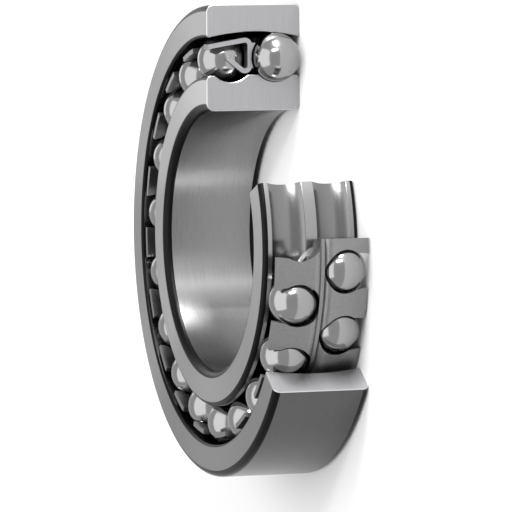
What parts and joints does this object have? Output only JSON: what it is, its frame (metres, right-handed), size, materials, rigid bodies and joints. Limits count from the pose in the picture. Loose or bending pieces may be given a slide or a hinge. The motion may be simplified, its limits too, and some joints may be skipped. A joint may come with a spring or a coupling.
{
  "type": "self-aligning ball bearing",
  "caption": "Sectioned self-aligning ball bearing: spherical outer raceway, grooved inner ring, pressed cage and staggered rows of balls, cut open to show them.",
  "frame": {"origin": "centre of the bore, midway between the side faces", "axes": "+Z along the bore axis, towards the side face that the picture shows; +Y towards the radial plane where every part is cut open; +X towards the side that is cut away"},
  "size_m": [0.0938, 0.1, 0.021],
  "materials": {
    "ring_steel": "ground and turned, satin",
    "cage_steel": "pressed sheet, tumbled matt",
    "ball_steel": "lapped, mirror polished"
  },
  "bodies": {
    "outer_ring": {"outer_ring": "ring_steel"},
    "cage": {"cage": "cage_steel"},
    "inner_ring": {"inner_ring": "ring_steel"},
    "ball_rear_01": {"ball_rear_01": "ball_steel"},
    "ball_rear_02": {"ball_rear_02": "ball_steel"},
    "ball_rear_03": {"ball_rear_03": "ball_steel"},
    "ball_rear_04": {"ball_rear_04": "ball_steel"},
    "ball_rear_05": {"ball_rear_05": "ball_steel"},
    "ball_rear_06": {"ball_rear_06": "ball_steel"},
    "ball_rear_07": {"ball_rear_07": "ball_steel"},
    "ball_rear_08": {"ball_rear_08": "ball_steel"},
    "ball_rear_09": {"ball_rear_09": "ball_steel"},
    "ball_rear_10": {"ball_rear_10": "ball_steel"},
    "ball_rear_11": {"ball_rear_11": "ball_steel"},
    "ball_rear_12": {"ball_rear_12": "ball_steel"},
    "ball_rear_13": {"ball_rear_13": "ball_steel"},
    "ball_rear_14": {"ball_rear_14": "ball_steel"},
    "ball_rear_15": {"ball_rear_15": "ball_steel"},
    "ball_front_01": {"ball_front_01": "ball_steel"},
    "ball_front_02": {"ball_front_02": "ball_steel"},
    "ball_front_03": {"ball_front_03": "ball_steel"},
    "ball_front_04": {"ball_front_04": "ball_steel"},
    "ball_front_05": {"ball_front_05": "ball_steel"},
    "ball_front_06": {"ball_front_06": "ball_steel"},
    "ball_front_07": {"ball_front_07": "ball_steel"},
    "ball_front_08": {"ball_front_08": "ball_steel"},
    "ball_front_09": {"ball_front_09": "ball_steel"},
    "ball_front_10": {"ball_front_10": "ball_steel"},
    "ball_front_11": {"ball_front_11": "ball_steel"},
    "ball_front_12": {"ball_front_12": "ball_steel"},
    "ball_front_13": {"ball_front_13": "ball_steel"},
    "ball_front_14": {"ball_front_14": "ball_steel"}
  },
  "joints": [
    {"name": "self_align", "type": "hinge", "parent": "outer_ring", "child": "cage", "pos_m": [0, 0, 0], "axis": [1, 0, 0], "range_deg": [-2.5, 2.5]},
    {"name": "shaft_spin", "type": "hinge", "parent": "cage", "child": "inner_ring", "pos_m": [0, 0, 0], "axis": [0, 0, 1], "continuous": true},
    {"name": "ball_rear_01_roll", "type": "hinge", "parent": "cage", "child": "ball_rear_01", "pos_m": [0.00027, 0.03875, -0.005], "axis": [0.0009, 0.128, 0.9918], "continuous": true},
    {"name": "ball_rear_02_roll", "type": "hinge", "parent": "cage", "child": "ball_rear_02", "pos_m": [-0.01233, 0.03674, -0.005], "axis": [-0.0407, 0.1213, 0.9918], "continuous": true},
    {"name": "ball_rear_03_roll", "type": "hinge", "parent": "cage", "child": "ball_rear_03", "pos_m": [-0.02359, 0.03074, -0.005], "axis": [-0.0779, 0.1015, 0.9918], "continuous": true},
    {"name": "ball_rear_04_roll", "type": "hinge", "parent": "cage", "child": "ball_rear_04", "pos_m": [-0.03229, 0.02142, -0.005], "axis": [-0.1066, 0.0707, 0.9918], "continuous": true},
    {"name": "ball_rear_05_roll", "type": "hinge", "parent": "cage", "child": "ball_rear_05", "pos_m": [-0.0375, 0.00977, -0.005], "axis": [-0.1238, 0.0323, 0.9918], "continuous": true},
    {"name": "ball_rear_06_roll", "type": "hinge", "parent": "cage", "child": "ball_rear_06", "pos_m": [-0.03864, -0.00293, -0.005], "axis": [-0.1276, -0.0097, 0.9918], "continuous": true},
    {"name": "ball_rear_07_roll", "type": "hinge", "parent": "cage", "child": "ball_rear_07", "pos_m": [-0.03559, -0.01532, -0.005], "axis": [-0.1175, -0.0506, 0.9918], "continuous": true},
    {"name": "ball_rear_08_roll", "type": "hinge", "parent": "cage", "child": "ball_rear_08", "pos_m": [-0.02869, -0.02604, -0.005], "axis": [-0.0948, -0.086, 0.9918], "continuous": true},
    {"name": "ball_rear_09_roll", "type": "hinge", "parent": "cage", "child": "ball_rear_09", "pos_m": [-0.01868, -0.03395, -0.005], "axis": [-0.0617, -0.1121, 0.9918], "continuous": true},
    {"name": "ball_rear_10_roll", "type": "hinge", "parent": "cage", "child": "ball_rear_10", "pos_m": [-0.00664, -0.03818, -0.005], "axis": [-0.0219, -0.1261, 0.9918], "continuous": true},
    {"name": "ball_rear_11_roll", "type": "hinge", "parent": "cage", "child": "ball_rear_11", "pos_m": [0.00611, -0.03827, -0.005], "axis": [0.0202, -0.1264, 0.9918], "continuous": true},
    {"name": "ball_rear_12_roll", "type": "hinge", "parent": "cage", "child": "ball_rear_12", "pos_m": [0.0182, -0.03421, -0.005], "axis": [0.0601, -0.113, 0.9918], "continuous": true},
    {"name": "ball_rear_13_roll", "type": "hinge", "parent": "cage", "child": "ball_rear_13", "pos_m": [0.02833, -0.02644, -0.005], "axis": [0.0935, -0.0873, 0.9918], "continuous": true},
    {"name": "ball_rear_14_roll", "type": "hinge", "parent": "cage", "child": "ball_rear_14", "pos_m": [0.03538, -0.01581, -0.005], "axis": [0.1168, -0.0522, 0.9918], "continuous": true},
    {"name": "ball_rear_15_roll", "type": "hinge", "parent": "cage", "child": "ball_rear_15", "pos_m": [0.03859, -0.00347, -0.005], "axis": [0.1275, -0.0115, 0.9918], "continuous": true},
    {"name": "ball_front_01_roll", "type": "hinge", "parent": "cage", "child": "ball_front_01", "pos_m": [-0.00611, 0.03827, 0.005], "axis": [0.0202, -0.1264, 0.9918], "continuous": true},
    {"name": "ball_front_02_roll", "type": "hinge", "parent": "cage", "child": "ball_front_02", "pos_m": [-0.0182, 0.03421, 0.005], "axis": [0.0601, -0.113, 0.9918], "continuous": true},
    {"name": "ball_front_03_roll", "type": "hinge", "parent": "cage", "child": "ball_front_03", "pos_m": [-0.02833, 0.02644, 0.005], "axis": [0.0935, -0.0873, 0.9918], "continuous": true},
    {"name": "ball_front_04_roll", "type": "hinge", "parent": "cage", "child": "ball_front_04", "pos_m": [-0.03538, 0.01581, 0.005], "axis": [0.1168, -0.0522, 0.9918], "continuous": true},
    {"name": "ball_front_05_roll", "type": "hinge", "parent": "cage", "child": "ball_front_05", "pos_m": [-0.03859, 0.00347, 0.005], "axis": [0.1275, -0.0115, 0.9918], "continuous": true},
    {"name": "ball_front_06_roll", "type": "hinge", "parent": "cage", "child": "ball_front_06", "pos_m": [-0.03763, -0.00925, 0.005], "axis": [0.1243, 0.0305, 0.9918], "continuous": true},
    {"name": "ball_front_07_roll", "type": "hinge", "parent": "cage", "child": "ball_front_07", "pos_m": [-0.03259, -0.02097, 0.005], "axis": [0.1076, 0.0692, 0.9918], "continuous": true},
    {"name": "ball_front_08_roll", "type": "hinge", "parent": "cage", "child": "ball_front_08", "pos_m": [-0.02401, -0.03041, 0.005], "axis": [0.0793, 0.1004, 0.9918], "continuous": true},
    {"name": "ball_front_09_roll", "type": "hinge", "parent": "cage", "child": "ball_front_09", "pos_m": [-0.01284, -0.03656, 0.005], "axis": [0.0424, 0.1207, 0.9918], "continuous": true},
    {"name": "ball_front_10_roll", "type": "hinge", "parent": "cage", "child": "ball_front_10", "pos_m": [-0.00027, -0.03875, 0.005], "axis": [0.0009, 0.128, 0.9918], "continuous": true},
    {"name": "ball_front_11_roll", "type": "hinge", "parent": "cage", "child": "ball_front_11", "pos_m": [0.01233, -0.03674, 0.005], "axis": [-0.0407, 0.1213, 0.9918], "continuous": true},
    {"name": "ball_front_12_roll", "type": "hinge", "parent": "cage", "child": "ball_front_12", "pos_m": [0.02359, -0.03074, 0.005], "axis": [-0.0779, 0.1015, 0.9918], "continuous": true},
    {"name": "ball_front_13_roll", "type": "hinge", "parent": "cage", "child": "ball_front_13", "pos_m": [0.03229, -0.02142, 0.005], "axis": [-0.1066, 0.0707, 0.9918], "continuous": true},
    {"name": "ball_front_14_roll", "type": "hinge", "parent": "cage", "child": "ball_front_14", "pos_m": [0.0375, -0.00977, 0.005], "axis": [-0.1238, 0.0323, 0.9918], "continuous": true}
  ],
  "couplings": [
    {"joint": "ball_rear_01_roll", "follows": "shaft_spin", "ratio": -6.5179},
    {"joint": "ball_rear_02_roll", "follows": "shaft_spin", "ratio": -6.5179},
    {"joint": "ball_rear_03_roll", "follows": "shaft_spin", "ratio": -6.5179},
    {"joint": "ball_rear_04_roll", "follows": "shaft_spin", "ratio": -6.5179},
    {"joint": "ball_rear_05_roll", "follows": "shaft_spin", "ratio": -6.5179},
    {"joint": "ball_rear_06_roll", "follows": "shaft_spin", "ratio": -6.5179},
    {"joint": "ball_rear_07_roll", "follows": "shaft_spin", "ratio": -6.5179},
    {"joint": "ball_rear_08_roll", "follows": "shaft_spin", "ratio": -6.5179},
    {"joint": "ball_rear_09_roll", "follows": "shaft_spin", "ratio": -6.5179},
    {"joint": "ball_rear_10_roll", "follows": "shaft_spin", "ratio": -6.5179},
    {"joint": "ball_rear_11_roll", "follows": "shaft_spin", "ratio": -6.5179},
    {"joint": "ball_rear_12_roll", "follows": "shaft_spin", "ratio": -6.5179},
    {"joint": "ball_rear_13_roll", "follows": "shaft_spin", "ratio": -6.5179},
    {"joint": "ball_rear_14_roll", "follows": "shaft_spin", "ratio": -6.5179},
    {"joint": "ball_rear_15_roll", "follows": "shaft_spin", "ratio": -6.5179},
    {"joint": "ball_front_01_roll", "follows": "shaft_spin", "ratio": -6.5179},
    {"joint": "ball_front_02_roll", "follows": "shaft_spin", "ratio": -6.5179},
    {"joint": "ball_front_03_roll", "follows": "shaft_spin", "ratio": -6.5179},
    {"joint": "ball_front_04_roll", "follows": "shaft_spin", "ratio": -6.5179},
    {"joint": "ball_front_05_roll", "follows": "shaft_spin", "ratio": -6.5179},
    {"joint": "ball_front_06_roll", "follows": "shaft_spin", "ratio": -6.5179},
    {"joint": "ball_front_07_roll", "follows": "shaft_spin", "ratio": -6.5179},
    {"joint": "ball_front_08_roll", "follows": "shaft_spin", "ratio": -6.5179},
    {"joint": "ball_front_09_roll", "follows": "shaft_spin", "ratio": -6.5179},
    {"joint": "ball_front_10_roll", "follows": "shaft_spin", "ratio": -6.5179},
    {"joint": "ball_front_11_roll", "follows": "shaft_spin", "ratio": -6.5179},
    {"joint": "ball_front_12_roll", "follows": "shaft_spin", "ratio": -6.5179},
    {"joint": "ball_front_13_roll", "follows": "shaft_spin", "ratio": -6.5179},
    {"joint": "ball_front_14_roll", "follows": "shaft_spin", "ratio": -6.5179}
  ]
}
